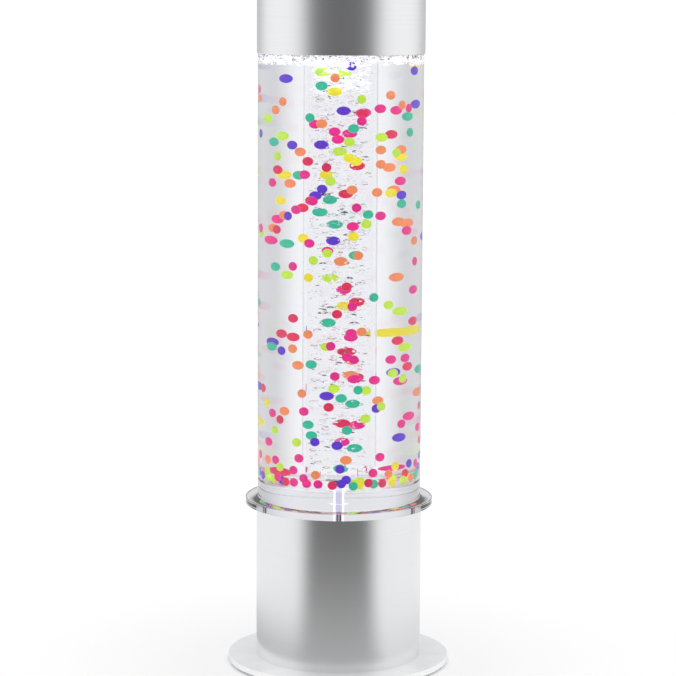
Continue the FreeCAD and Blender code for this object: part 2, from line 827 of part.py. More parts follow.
def make_pump_case():
    outside = block("pump_length", "pump_width", "pump_height", y="pump_offset", z="pump_bottom")
    inside = block(
        "pump_length - 2 * pump_wall",
        "pump_width - 2 * pump_wall",
        "pump_height",
        y="pump_offset",
        z="pump_floor",
    )
    post = rod("pump_post_diameter", "pump_height - pump_wall")
    posts = copies(post, corners_of("post_x", "post_y", "0", "pump_offset", "pump_floor"))
    rib = block("core_length", "core_outer_leg", "arm_level - core_thickness / 2 - pump_floor")
    rib_group = group([rib])
    place(rib, "0", "0 - core_outer_leg / 2", "0")
    rib_y = "core_width / 2 - core_outer_leg / 2"
    ribs = copies(rib_group, [
        ("core_x", f"pump_offset + {rib_y}", "pump_floor", "0"),
        ("core_x", f"pump_offset - ({rib_y})", "pump_floor", "0"),
    ])
    boss = rod(
        "pivot_sleeve_diameter",
        "sleeve_bottom - water_gap - pump_floor",
        "pivot_x",
        "pump_offset",
        "pump_floor",
    )
    body = fuse(cut(outside, inside), *posts, *ribs, boss)
    thread = rod("pump_screw_diameter + 2 * screw_gap", "pump_screw_bite + 2 * cut_over")
    thread_bottom = "pump_rim - pump_screw_bite - cut_over"
    threads = copies(thread, corners_of("post_x", "post_y", "0", "pump_offset", thread_bottom))
    pin = rod("pivot_diameter + 2 * screw_gap", "pump_height", "pivot_x", "pump_offset", "pump_floor")
    piece("pump_case", cut(body, *threads, pin))

    lid = block("pump_length", "pump_width", "pump_lid_thickness", y="pump_offset", z="pump_rim")
    lid_cut = "pump_lid_thickness + 2 * cut_over"
    nipple = rod("hose_diameter + 2 * hose_end_gap", lid_cut, "chamber_x", "port_y", "pump_rim - cut_over")
    through = rod("pump_screw_diameter + 2 * screw_gap", lid_cut)
    holes = copies(through, corners_of("post_x", "post_y", "0", "pump_offset", "pump_rim - cut_over"))
    piece("pump_lid", cut(lid, nipple, *holes))

    screw = turned([
        ("0", "0 - pump_screw_bite"),
        ("pump_screw_diameter / 2", "0 - pump_screw_bite"),
        ("pump_screw_diameter / 2", "pump_lid_thickness"),
        ("pump_screw_head / 2", "pump_lid_thickness"),
        ("pump_screw_head / 2", "pump_lid_thickness + screw_head_height"),
        ("0", "pump_lid_thickness + screw_head_height"),
    ])
    spots = corners_of("post_x", "post_y", "0", "pump_offset", "pump_rim")
    piece("pump_lid_screws", group(copies(screw, spots)))

    pad = rod("pump_pad_diameter", "pump_pad_height")
    spots = corners_of(
        "pump_length / 2 - pump_pad_inset",
        "pump_width / 2 - pump_pad_inset",
        "0",
        "pump_offset",
        "casing_bottom",
    )
    piece("pump_pads", group(copies(pad, spots)))


def make_pump_drive():
    level = "arm_level - core_thickness / 2"
    leg = "core_length - core_back"
    slot = "core_width / 2 - core_outer_leg - core_middle_leg / 2"
    slot_y = f"core_middle_leg / 2 + ({slot}) / 2"
    core_middle = "core_x + core_length / 2"
    plate = block("core_length", "core_width", "core_thickness", core_middle, "pump_offset", level)
    slots = [
        block(
            leg,
            slot,
            "core_thickness + 2 * cut_over",
            f"pole_x - ({leg}) / 2",
            f"pump_offset {sign} ({slot_y})",
            f"{level} - cut_over",
        )
        for sign in "+-"
    ]
    piece("pump_core", cut(plate, *slots))

    middle = "pole_x - (core_length - core_back) / 2"

    def sleeve(length, width, height, x=middle):
        return block(length, width, height, x, "pump_offset", f"arm_level - ({height}) / 2")

    hole_width = "core_middle_leg + 2 * bobbin_gap"
    hole_height = "core_thickness + 2 * bobbin_gap"
    neck_width = f"{hole_width} + 2 * bobbin_wall"
    neck_height = f"{hole_height} + 2 * bobbin_wall"
    wide = f"core_middle_leg + 2 * ({slot}) - 2 * bobbin_gap"
    tall = f"{neck_height} + 2 * winding_depth"
    neck = sleeve("bobbin_length", neck_width, neck_height)
    offset = "bobbin_length / 2 - bobbin_flange / 2"
    flanges = [sleeve("bobbin_flange", wide, tall, f"{middle} {sign} ({offset})") for sign in "+-"]
    bore = sleeve("bobbin_length + 2 * cut_over", hole_width, hole_height)
    piece("pump_bobbin", cut(fuse(neck, *flanges), bore))
    coil_length = "bobbin_length - 2 * bobbin_flange"
    coil = sleeve(coil_length, f"{wide} - 2 * bobbin_gap", f"{tall} - 2 * bobbin_gap")
    piece("pump_winding", cut(coil, sleeve(f"{coil_length} + 2 * cut_over", neck_width, neck_height)))

    piece("pump_magnet", block(
        "magnet_thickness",
        "magnet_width",
        "magnet_height",
        "magnet_x + magnet_thickness / 2",
        "pump_offset",
        "arm_level - magnet_height / 2",
    ))
    strip = block(
        "pivot_x - arm_x",
        "arm_thickness",
        "arm_height",
        "(pivot_x + arm_x) / 2",
        "pump_offset",
        "arm_level - arm_height / 2",
    )
    eye = rod("pivot_sleeve_diameter", "pivot_sleeve_height", "pivot_x", "pump_offset", "sleeve_bottom")
    hole = rod(
        "pivot_diameter + 2 * pivot_gap",
        "pivot_sleeve_height + 2 * cut_over",
        "pivot_x",
        "pump_offset",
        "sleeve_bottom - cut_over",
    )
    piece("pump_arm", cut(fuse(strip, eye), hole))
    piece("pump_pivot", rod(
        "pivot_diameter",
        "pump_rim - water_gap - pump_floor",
        "pivot_x",
        "pump_offset",
        "pump_floor",
    ))


def make_pump_chamber():
    bottom = "arm_level - chamber_width / 2"
    top = "arm_level + chamber_width / 2"
    ports = {"outlet": "arm_level + port_rise", "inlet": "arm_level - port_rise"}
    middle_y = "wall_y - chamber_depth / 2"
    body = block("chamber_width", "chamber_depth", "chamber_width", "chamber_x", middle_y, bottom)
    nipple = rod("barb_diameter", f"nipple_top - ({top})", "chamber_x", "port_y", top)
    cavity_length = "cavity_depth + cut_over"
    cavity = rod("cavity_diameter", cavity_length, "chamber_x", "chamber_y - cut_over", "arm_level", "y")
    out_length = f"nipple_top - ({ports['outlet']}) + cut_over"
    out_way = rod("port_diameter", out_length, "chamber_x", "port_y", ports["outlet"])
    in_length = f"{ports['inlet']} - ({bottom}) + cut_over"
    in_way = rod("port_diameter", in_length, "chamber_x", "port_y", f"{bottom} - cut_over")
    throats = [
        rod("port_diameter", "port_depth + cut_over", "chamber_x", "cavity_y - cut_over", level, "y")
        for level in ports.values()
    ]
    piece("pump_chamber", cut(fuse(body, nipple), cavity, out_way, in_way, *throats))

    piece("pump_valves", group([
        rod("flap_diameter", "flap_thickness", "chamber_x", "cavity_y - flap_thickness", level, "y")
        for level in ports.values()
    ]))

    stud = "chamber_y - diaphragm_thickness - pump_offset - arm_thickness / 2"
    piece("pump_diaphragm", turned([
        ("0", "0"),
        ("diaphragm_stud / 2", "0"),
        ("diaphragm_stud / 2", stud),
        ("diaphragm_diameter / 2", stud),
        ("diaphragm_diameter / 2", f"{stud} + diaphragm_thickness"),
        ("0", f"{stud} + diaphragm_thickness"),
    ], "chamber_x", "pump_offset + arm_thickness / 2", "arm_level", "y"))


# Control board, behind the pump

def make_board():
    board = block("board_length", "board_width", "board_thickness", y="board_offset", z="board_bottom")
    piece("control_board", board)
    post = rod("board_standoff_diameter", "board_standoff_height")
    spots = corners_of(
        "board_length / 2 - board_standoff_inset",
        "board_width / 2 - board_standoff_inset",
        "0",
        "board_offset",
        "casing_bottom",
    )
    piece("board_standoffs", group(copies(post, spots)))

    def terminal(x, y):
        return block("terminal_length", "terminal_length", "terminal_height", x, y, "board_top")

    piece("board_terminals", group([
        terminal("terminal_x", "terminal_near_y"),
        terminal("terminal_x", "terminal_y"),
        terminal("switch_terminal_x", "terminal_y"),
        terminal("inlet_terminal_x", "terminal_y"),
    ]))
    capacitors = [
        rod("capacitor_diameter", "capacitor_height", x, "capacitor_y", "board_top")
        for x in ("capacitor_x", "capacitor_x + capacitor_spacing")
    ]
    piece("board_parts", group([
        block("chip_width", "chip_width", "chip_height", y="chip_y", z="board_top"),
        block("relay_length", "relay_width", "relay_height", "relay_x", "relay_y", "board_top"),
        *capacitors,
    ]))


# Power inlet and switch, on the back of the casing

def make_inlet():
    shell = fuse(
        rod("inlet_diameter", "inlet_depth", "0", "inlet_back", "inlet_level", "y"),
        rod("inlet_flange_diameter", "inlet_flange_thickness", "0", "casing_radius", "inlet_level", "y"),
    )
    bore = rod("inlet_bore", "inlet_bore_depth + cut_over", "0", "inlet_bore_back", "inlet_level", "y")
    tail_hole = rod(
        "inlet_tail_diameter + 2 * bond_gap",
        "casing_radius - inlet_back",
        "0",
        "inlet_back - cut_over",
        "inlet_level",
        "y",
    )
    piece("power_inlet", cut(shell, bore, tail_hole))
    piece("inlet_pin", turned([
        ("0", "inlet_back"),
        ("inlet_tail_diameter / 2", "inlet_back"),
        ("inlet_tail_diameter / 2", "inlet_bore_back"),
        ("inlet_pin_diameter / 2", "inlet_bore_back"),
        ("inlet_pin_diameter / 2", "inlet_bore_back + inlet_pin_length"),
        ("0", "inlet_bore_back + inlet_pin_length"),
    ], z="inlet_level", along="y"))
    nut = hexagon("inlet_nut_width", "inlet_nut_thickness", "0", "nut_y", "inlet_level", "y")
    hole_length = "inlet_nut_thickness + 2 * cut_over"
    hole = rod("inlet_diameter + 2 * screw_gap", hole_length, "0", "nut_y - cut_over", "inlet_level", "y")
    piece("inlet_nut", cut(nut, hole))


def make_switch():
    def upright(width, depth, height, y):
        return block(width, depth, height, "0", f"{y} + ({depth}) / 2", f"switch_level - ({height}) / 2")

    frame = upright("switch_frame_width", "switch_frame_thickness", "switch_frame_height", "casing_radius")
    body = upright("switch_body_width", "switch_body_depth", "switch_body_height", "switch_back")
    room = upright(
        "switch_body_width - 2 * switch_wall",
        "switch_body_depth + switch_frame_thickness",
        "switch_body_height - 2 * switch_wall",
        "switch_back + switch_floor",
    )
    pivot = rod(
        "rocker_pin_diameter + 2 * rocker_pin_gap",
        "switch_body_width + 2 * cut_over",
        "0 - switch_body_width / 2 - cut_over",
        "rocker_y",
        "switch_level",
        "x",
    )
    piece("switch_housing", cut(fuse(frame, body), room, pivot))

    face = document.addObject("PartDesign::Body", "rocker")
    sketch = outlined(face, "YZ_Plane", [
        ("0 - rocker_back", "0 - rocker_half_height"),
        ("rocker_reach", "0 - rocker_half_height"),
        ("rocker_reach - rocker_dip", "0"),
        ("rocker_reach", "rocker_half_height"),
        ("0 - rocker_back", "rocker_half_height"),
    ])
    pad = face.newObject("PartDesign::Pad", "pad")
    pad.Profile = sketch
    pad.SideType = "Symmetric"
    pad.setExpression("Length", formula("rocker_width"))
    document.recompute()
    pin = rod("rocker_pin_diameter", "rocker_pin_length", "0 - rocker_pin_length / 2", "0", "0", "x")
    rocker = fuse(face, pin)
    rocker.Placement = Placement(Vector(), Rotation(Vector(1, 0, 0), SIZES["rocker_tilt"]))
    rocker.setExpression(".Placement.Base.y", formula("rocker_y"))
    rocker.setExpression(".Placement.Base.z", formula("switch_level"))
    piece("switch_rocker", rocker)

    blade = ("terminal_blade_width", "terminal_blade_length", "terminal_blade_thickness")
    piece("switch_terminals", group([
        block(*blade, "0", "switch_back - terminal_blade_length / 2",
              f"switch_level {sign} terminal_blade_spacing / 2 - terminal_blade_thickness / 2")
        for sign in "+-"
    ]))


# Leads inside the casing

def make_leads():
    blade_end = "switch_back - terminal_blade_length"
    blade_level = "switch_level - terminal_blade_spacing / 2"
    swept("inlet_lead", [
        ("0", "inlet_back", "inlet_level"),
        ("0", "inlet_back - lead_start", "inlet_level"),
        ("inlet_terminal_x", "terminal_back + lead_start", "inlet_terminal_level"),
        ("inlet_terminal_x", "terminal_back", "inlet_terminal_level"),
    ], "lead_diameter")
    swept("switch_lead", [
        ("0", blade_end, blade_level),
        ("0", f"{blade_end} - lead_start", blade_level),
        ("switch_terminal_x / 2", "terminal_back + switch_lead_step", f"{blade_level} - switch_lead_step"),
        ("switch_terminal_x", "terminal_y", "terminal_top + switch_lead_rise"),
        ("switch_terminal_x", "terminal_y", "terminal_top"),
    ], "lead_diameter")
    swept("led_lead", [
        ("terminal_x", "terminal_y", "terminal_top"),
        ("terminal_x", "terminal_y", "terminal_top + led_lead_run"),
        ("terminal_x + lead_sway", "terminal_y - lead_sway", "(terminal_top + led_board_bottom) / 2"),
        ("terminal_x", "terminal_y - 2 * lead_sway", "led_board_bottom - led_lead_run"),
        ("terminal_x", "terminal_y - 2 * lead_sway", "led_board_bottom"),
    ], "lead_diameter")
    swept("pump_lead", [
        ("terminal_x", "terminal_near_y", "terminal_top"),
        ("terminal_x", "terminal_near_y", "terminal_top + pump_lead_rise"),
        ("pump_lead_x", "terminal_near_y - pump_lead_step", "terminal_top + pump_lead_rise + pump_lead_step"),
        ("pump_lead_x", "pump_offset + pump_width / 2", "terminal_top + pump_lead_rise + pump_lead_step"),
    ], "lead_diameter")


make_foot()
make_casing()
make_tank()
make_beads()
make_cap()
make_nozzle()
make_light()
make_air_line()
make_pump_case()
make_pump_drive()
make_pump_chamber()
make_board()
make_inlet()
make_switch()
make_leads()
document.recompute()

faults = [thing.Label for thing in document.Objects if {"Invalid", "Error"} & set(thing.State)]
faults += [thing.Label for thing in pieces if thing.Shape.isNull() or not thing.Shape.isValid()]
if faults:
    raise RuntimeError("not built: " + ", ".join(faults))

os.makedirs("parts", exist_ok=True)
for thing in pieces:
    thing.Shape.exportStep(f"parts/{thing.Label}.step")
print(len(pieces), "pieces")
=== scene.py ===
import json
import math
import random

import bmesh
import bpy
from mathutils import Matrix, Vector


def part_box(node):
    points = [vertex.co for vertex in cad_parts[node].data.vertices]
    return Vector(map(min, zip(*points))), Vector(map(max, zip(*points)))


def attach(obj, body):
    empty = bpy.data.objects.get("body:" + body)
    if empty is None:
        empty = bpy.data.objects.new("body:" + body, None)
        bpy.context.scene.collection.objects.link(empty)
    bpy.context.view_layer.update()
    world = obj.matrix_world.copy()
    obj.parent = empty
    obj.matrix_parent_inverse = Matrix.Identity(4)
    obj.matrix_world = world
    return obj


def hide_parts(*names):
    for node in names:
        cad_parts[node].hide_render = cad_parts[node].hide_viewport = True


# Bubble tube floor lamp. Metres, +Z up, the front faces -Y.

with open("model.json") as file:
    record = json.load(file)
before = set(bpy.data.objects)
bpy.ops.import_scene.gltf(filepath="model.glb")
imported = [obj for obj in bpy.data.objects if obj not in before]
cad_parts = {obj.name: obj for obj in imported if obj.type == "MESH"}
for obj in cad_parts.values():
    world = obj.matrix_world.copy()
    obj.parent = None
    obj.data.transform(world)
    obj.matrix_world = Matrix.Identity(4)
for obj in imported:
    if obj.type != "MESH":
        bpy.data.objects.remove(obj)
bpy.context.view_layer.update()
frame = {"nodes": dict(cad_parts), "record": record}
nodes = frame["nodes"]
scene = bpy.context.scene
MM = 0.001

TUBE_WALL = 4 * MM
HAIR = 0.02 * MM
WATER_IOR = 1.333
ACRYLIC_IOR = 1.49
ACRYLIC_IN_WATER_IOR = ACRYLIC_IOR / WATER_IOR
BEAD_IN_WATER_IOR = 1.14
ACRYLIC_TINT = (0.985, 0.986, 0.996)
THICK_TINT = (0.80, 0.805, 0.84)
NOZZLE_HOLE = 3.3 * MM

SILVER = (0.87, 0.875, 0.885)
RING_METAL = (0.72, 0.725, 0.735)
STEEL = (0.62, 0.62, 0.63)
LED_LIGHT = (0.78, 0.76, 1.0)
# Size and strength of the painted glow of LED light in the acrylic round the nozzle.
PAINTED_GLOW_RADIUS = 7.5 * MM
PAINTED_GLOW_STRENGTH = 0.8
BEAD_COLOURS = {
    "bead_pink": (0.86, 0.02, 0.29),
    "bead_red": (0.80, 0.025, 0.11),
    "bead_orange": (0.96, 0.30, 0.12),
    "bead_yellow": (0.93, 0.86, 0.04),
    "bead_lime": (0.58, 0.93, 0.07),
    "bead_teal": (0.035, 0.56, 0.36),
    "bead_violet": (0.12, 0.035, 0.68),
}


# Shader building blocks

def node(tree, kind, **settings):
    made = tree.nodes.new(kind)
    for name, setting in settings.items():
        setattr(made, name, setting)
    return made


def feed(tree, source, *targets):
    for target in targets:
        tree.links.new(source, target)


def group(name, inputs, outputs):
    """A shared shader group with number inputs and colour or number outputs."""
    tree = bpy.data.node_groups.new(name, "ShaderNodeTree")
    for word, start in inputs.items():
        socket = tree.interface.new_socket(word, in_out="INPUT", socket_type="NodeSocketFloat")
        socket.default_value = start
    for word, kind in outputs.items():
        tree.interface.new_socket(word, in_out="OUTPUT", socket_type=kind)
    return tree, node(tree, "NodeGroupInput").outputs, node(tree, "NodeGroupOutput").inputs


def maths(tree, operation, first, second=0.0, third=0.0):
    made = node(tree, "ShaderNodeMath", operation=operation)
    for socket, entry in zip(made.inputs, (first, second, third)):
        if isinstance(entry, (int, float)):
            socket.default_value = entry
        else:
            feed(tree, entry, socket)
    return made.outputs[0]


def here(tree):
    return node(tree, "ShaderNodeTexCoord").outputs["Object"]


def noise(tree, vector, scale, detail=2.0, rough=0.5):
    made = node(tree, "ShaderNodeTexNoise")
    feed(tree, vector, made.inputs["Vector"])
    made.inputs["Detail"].default_value = detail
    made.inputs["Roughness"].default_value = rough
    if isinstance(scale, (int, float)):
        made.inputs["Scale"].default_value = scale
    else:
        feed(tree, scale, made.inputs["Scale"])
    return made.outputs["Fac"]


def spread(tree, value, low, high):
    """The value from 0 to 1 moved to low to high, either of which may be a socket."""
    made = node(tree, "ShaderNodeMapRange")
    feed(tree, value, made.inputs["Value"])
    for word, entry in (("To Min", low), ("To Max", high)):
        if isinstance(entry, (int, float)):
            made.inputs[word].default_value = entry
        else:
            feed(tree, entry, made.inputs[word])
    return made.outputs["Result"]


def turned_grain():
    """Fine lines round the lamp's axis, as a lathe or a brush leaves them on a tube and on its end."""
    tree, given, out = group(
        "turned_grain",
        {"Lines": 2600.0, "Depth": 1.0, "Rough": 0.3, "Rough Change": 0.05},
        {"Height": "NodeSocketFloat", "Roughness": "NodeSocketFloat", "Shade": "NodeSocketFloat"},
    )
    parts = node(tree, "ShaderNodeSeparateXYZ")
    feed(tree, here(tree), parts.inputs[0])
    x, y, z = parts.outputs
    radius = maths(tree, "SQRT", maths(tree, "ADD", maths(tree, "MULTIPLY", x, x), maths(tree, "MULTIPLY", y, y)))
    across = maths(tree, "MULTIPLY", maths(tree, "ADD", z, radius), given["Lines"])
    lines = node(tree, "ShaderNodeCombineXYZ")
    feed(tree, maths(tree, "MULTIPLY", x, 9.0), lines.inputs[0])
    feed(tree, maths(tree, "MULTIPLY", y, 9.0), lines.inputs[1])
    feed(tree, across, lines.inputs[2])
    fine = noise(tree, lines.outputs[0], 1.0, detail=3.0, rough=0.6)
    broad = noise(tree, here(tree), 14.0, detail=3.0, rough=0.55)
    feed(tree, maths(tree, "MULTIPLY", fine, given["Depth"]), out["Height"])
    smudge = maths(tree, "MULTIPLY", maths(tree, "SUBTRACT", broad, 0.5), given["Rough Change"])
    streak = maths(tree, "MULTIPLY", maths(tree, "SUBTRACT", fine, 0.5), given["Rough Change"])
    feed(tree, maths(tree, "ADD", given["Rough"], maths(tree, "ADD", smudge, streak)), out["Roughness"])
    feed(tree, spread(tree, fine, 0.94, 1.04), out["Shade"])
    return tree


def moulded_skin():
    """Faint mottling and the fine sparked skin that moulded plastic and rubber have."""
    tree, given, out = group(
        "moulded_skin",
        {"Grain": 1800.0, "Rough": 0.45, "Rough Change": 0.12},
        {"Height": "NodeSocketFloat", "Roughness": "NodeSocketFloat", "Shade": "NodeSocketFloat"},
    )
    feed(tree, noise(tree, here(tree), given["Grain"], detail=2.0), out["Height"])
    broad = noise(tree, here(tree), 55.0, detail=3.0)
    change = maths(tree, "MULTIPLY", maths(tree, "SUBTRACT", broad, 0.5), given["Rough Change"])
    feed(tree, maths(tree, "ADD", given["Rough"], change), out["Roughness"])
    feed(tree, spread(tree, broad, 0.9, 1.08), out["Shade"])
    return tree


def polished_skin():
    """The slow waviness and the faint wipe marks of polished acrylic."""
    tree, given, out = group(
        "polished_skin",
        {"Rough": 0.0, "Rough Change": 0.02},
        {"Height": "NodeSocketFloat", "Roughness": "NodeSocketFloat", "Shade": "NodeSocketFloat"},
    )
    slow = noise(tree, here(tree), 9.0, detail=1.0)
    wiped = noise(tree, here(tree), 38.0, detail=4.0, rough=0.6)
    feed(tree, slow, out["Height"])
    feed(tree, maths(tree, "MULTIPLY_ADD", wiped, given["Rough Change"], given["Rough"]), out["Roughness"])
    feed(tree, spread(tree, wiped, 0.985, 1.0), out["Shade"])
    return tree


GRAIN = turned_grain()
MOULDED = moulded_skin()
POLISHED = polished_skin()


def finish(name, colour, skin, settings=None, bump=0.1, bump_distance=0.02 * MM, **sockets):
    """A material whose roughness, shade and bump come from a shared skin, and the rest from plain values."""
    made = bpy.data.materials.new(name)
    made.use_nodes = True
    tree = made.node_tree
    shader = tree.nodes["Principled BSDF"]
    worn = node(tree, "ShaderNodeGroup", node_tree=skin)
    for word, entry in (settings or {}).items():
        worn.inputs[word].default_value = entry
    tint = node(tree, "ShaderNodeMix", data_type="RGBA", blend_type="MULTIPLY")
    tint.inputs["Factor"].default_value = 1.0
    tint.inputs[6].default_value = (*colour, 1.0)
    feed(tree, worn.outputs["Shade"], tint.inputs[7])
    feed(tree, tint.outputs[2], shader.inputs["Base Color"])
    feed(tree, worn.outputs["Roughness"], shader.inputs["Roughness"])
    if bump:
        raised = node(tree, "ShaderNodeBump")
        raised.inputs["Strength"].default_value = bump
        raised.inputs["Distance"].default_value = bump_distance
        feed(tree, worn.outputs["Height"], raised.inputs["Height"])
        feed(tree, raised.outputs[0], shader.inputs["Normal"])
    for word, entry in sockets.items():
        shader.inputs[word.replace("_", " ")].default_value = entry
    made.diffuse_color = (*colour, 1.0)
    return made


def metal(name, colour, rough, lines=2600.0, change=0.06, bump=0.12):
    return finish(
        name,
        colour,
        GRAIN,
        {"Lines": lines, "Rough": rough, "Rough Change": change},
        bump,
        0.01 * MM,
        Metallic=1.0,
    )


def plastic(name, colour, rough, grain=1800.0, bump=0.1, **sockets):
    return finish(name, colour, MOULDED, {"Grain": grain, "Rough": rough}, bump, **sockets)


def clear(name, colour, ior, rough=0.0, bump=0.02):
    return finish(
        name,
        colour,
        POLISHED,
        {"Rough": rough, "Rough Change": 0.012},
        bump,
        0.5 * MM,
        Transmission_Weight=1.0,
        IOR=ior,
    )


# Beads with a painted glow: emission in their own colour stands in for the light that shines through the
# translucent beads.
def bead(name, colour):
    return finish(
        name,
        colour,
        MOULDED,
        {"Grain": 700.0, "Rough": 0.12, "Rough Change": 0.08},
        0.04,
        IOR=BEAD_IN_WATER_IOR,
        Emission_Color=(*colour, 1.0),
        Emission_Strength=0.6,
    )


def painted_glow_near_axis(made, radius, colour, strength):
    """A painted glow: emission in the acrylic round the nozzle, standing in for the lamp's light that the acrylic
    catches.
    """
    tree = made.node_tree
    shader = tree.nodes["Principled BSDF"]
    flat = node(tree, "ShaderNodeVectorMath", operation="MULTIPLY")
    flat.inputs[1].default_value = (1.0, 1.0, 0.0)
    feed(tree, here(tree), flat.inputs[0])
    length = node(tree, "ShaderNodeVectorMath", operation="LENGTH")
    feed(tree, flat.outputs[0], length.inputs[0])
    fade = node(tree, "ShaderNodeMapRange", interpolation_type="SMOOTHSTEP")
    feed(tree, length.outputs["Value"], fade.inputs["Value"])
    fade.inputs["From Min"].default_value = 0.45 * radius
    fade.inputs["From Max"].default_value = radius
    fade.inputs["To Min"].default_value = 1.0
    fade.inputs["To Max"].default_value = 0.0
    tint = node(tree, "ShaderNodeMix", data_type="RGBA")
    feed(tree, fade.outputs["Result"], tint.inputs["Factor"])
    tint.inputs[6].default_value = (0.0, 0.0, 0.0, 1.0)
    tint.inputs[7].default_value = (*colour, 1.0)
    feed(tree, tint.outputs[2], shader.inputs["Emission Color"])
    shader.inputs["Emission Strength"].default_value = strength


def make_finishes():
    made = {
        "acrylic_clear": clear("clear_acrylic", ACRYLIC_TINT, ACRYLIC_IOR),
        "acrylic_white": plastic("white_acrylic", (0.93, 0.935, 0.945), 0.24, 2400.0, 0.03, Coat_Weight=0.3),
        "water": clear("water", (0.985, 0.99, 1.0), WATER_IOR),
        "silver": metal("satin_silver", SILVER, 0.25),
        "ring_metal": metal("turned_ring", RING_METAL, 0.32, 1500.0, 0.08, 0.2),
        "screw_steel": metal("screw_steel", STEEL, 0.3, 3000.0, 0.1, 0.2),
        "core_iron": metal("core_iron", (0.24, 0.24, 0.25), 0.5, 1100.0, 0.15, 0.3),
        "copper": metal("wound_copper", (0.85, 0.42, 0.2), 0.3, 4200.0, 0.1, 0.5),
        "brass": metal("brass", (0.8, 0.6, 0.27), 0.28, 2600.0, 0.1, 0.15),
        "magnet": metal("magnet", (0.12, 0.12, 0.13), 0.42, 1500.0, 0.1, 0.2),
        "black_rubber": plastic("black_rubber", (0.025, 0.025, 0.026), 0.7, 1400.0, 0.3),
        "clear_hose": plastic("air_hose", (0.75, 0.78, 0.78), 0.3, 900.0, 0.05, Transmission_Weight=0.5),
        "black_plastic": plastic("black_plastic", (0.022, 0.022, 0.025), 0.38, 2000.0, 0.15),
        "grey_plastic": plastic("grey_plastic", (0.10, 0.105, 0.115), 0.5, 1700.0, 0.2),
        "white_plastic": plastic("white_plastic", (0.72, 0.72, 0.71), 0.42, 1800.0, 0.12),
        "green_plastic": plastic("green_plastic", (0.03, 0.2, 0.06), 0.45, 1800.0, 0.12),
        "board_green": plastic("board_green", (0.01, 0.085, 0.035), 0.32, 2600.0, 0.1),
        # The white board has a painted glow: it gives off LED-coloured light though only its LEDs are lamps.
        "board_white": plastic(
            "board_white",
            (0.78, 0.78, 0.77),
            0.35,
            2600.0,
            0.1,
            Emission_Color=(*LED_LIGHT, 1.0),
            Emission_Strength=0.8,
        ),
        "led": plastic(
            "led",
            (0.9, 0.9, 0.8),
            0.2,
            Emission_Color=(*LED_LIGHT, 1.0),
            Emission_Strength=6.0,
        ),
    }
    for slot, colour in BEAD_COLOURS.items():
        made[slot] = bead(slot, colour)
    return made


def coat_nodes(finishes):
    """Each CAD node gets the finish of its slot."""
    for part in frame["record"]["subparts"]:
        surface = nodes[part["node"]].data
        surface.materials.clear()
        surface.materials.append(finishes[part["material_slot"]])


def recoat(name, surface):
    nodes[name].data.materials.clear()
    nodes[name].data.materials.append(surface)


# Modelling

def select_only(piece):
    bpy.ops.object.select_all(action="DESELECT")
    piece.select_set(True)
    bpy.context.view_layer.objects.active = piece


def named(name):
    """The piece that was just added, with its name, alone selected."""
    piece = bpy.context.object
    piece.name = name
    piece.data.name = name
    select_only(piece)
    return piece


def seat(piece):
    """The piece's place goes into its mesh, and its object to the origin."""
    select_only(piece)
    bpy.ops.object.transform_apply(location=True, rotation=True, scale=True)


def give(piece, body, slot, surface, *replaced):
    piece.data.materials.clear()
    piece.data.materials.append(surface)
    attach(piece, body)
    if replaced:
        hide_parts(*replaced)


def revolved(name, profile, steps, ring=False):
    """A closed round piece from a profile of radius and height, turned about the lamp's axis."""
    bpy.ops.object.select_all(action="DESELECT")
    bpy.ops.mesh.primitive_plane_add(size=MM)
    piece = named(name)
    bpy.ops.object.mode_set(mode="EDIT")
    bpy.ops.mesh.delete(type="VERT")
    shape = bmesh.from_edit_mesh(piece.data)
    line = [shape.verts.new((radius, 0.0, height)) for radius, height in profile]
    for start, end in zip(line, line[1:]):
        shape.edges.new((start, end))
    if ring:
        shape.edges.new((line[-1], line[0]))
    for point in line:
        point.select_set(True)
    shape.select_flush(True)
    bmesh.update_edit_mesh(piece.data)
    bpy.ops.mesh.spin(steps=steps, angle=2 * math.pi, center=(0, 0, 0), axis=(0, 0, 1))
    bpy.ops.mesh.select_all(action="SELECT")
    bpy.ops.mesh.remove_doubles(threshold=0.002 * MM)
    bpy.ops.mesh.normals_make_consistent(inside=False)
    bpy.ops.object.mode_set(mode="OBJECT")
    bpy.ops.object.shade_smooth_by_angle(angle=math.radians(35))
    return piece


def give_where(piece, surface, belongs):
    """A second material on the faces whose middle belongs to it."""
    piece.data.materials.append(surface)
    for face in piece.data.polygons:
        if belongs(face.center):
            face.material_index = len(piece.data.materials) - 1


def from_axis(spot):
    return math.hypot(spot.x, spot.y)


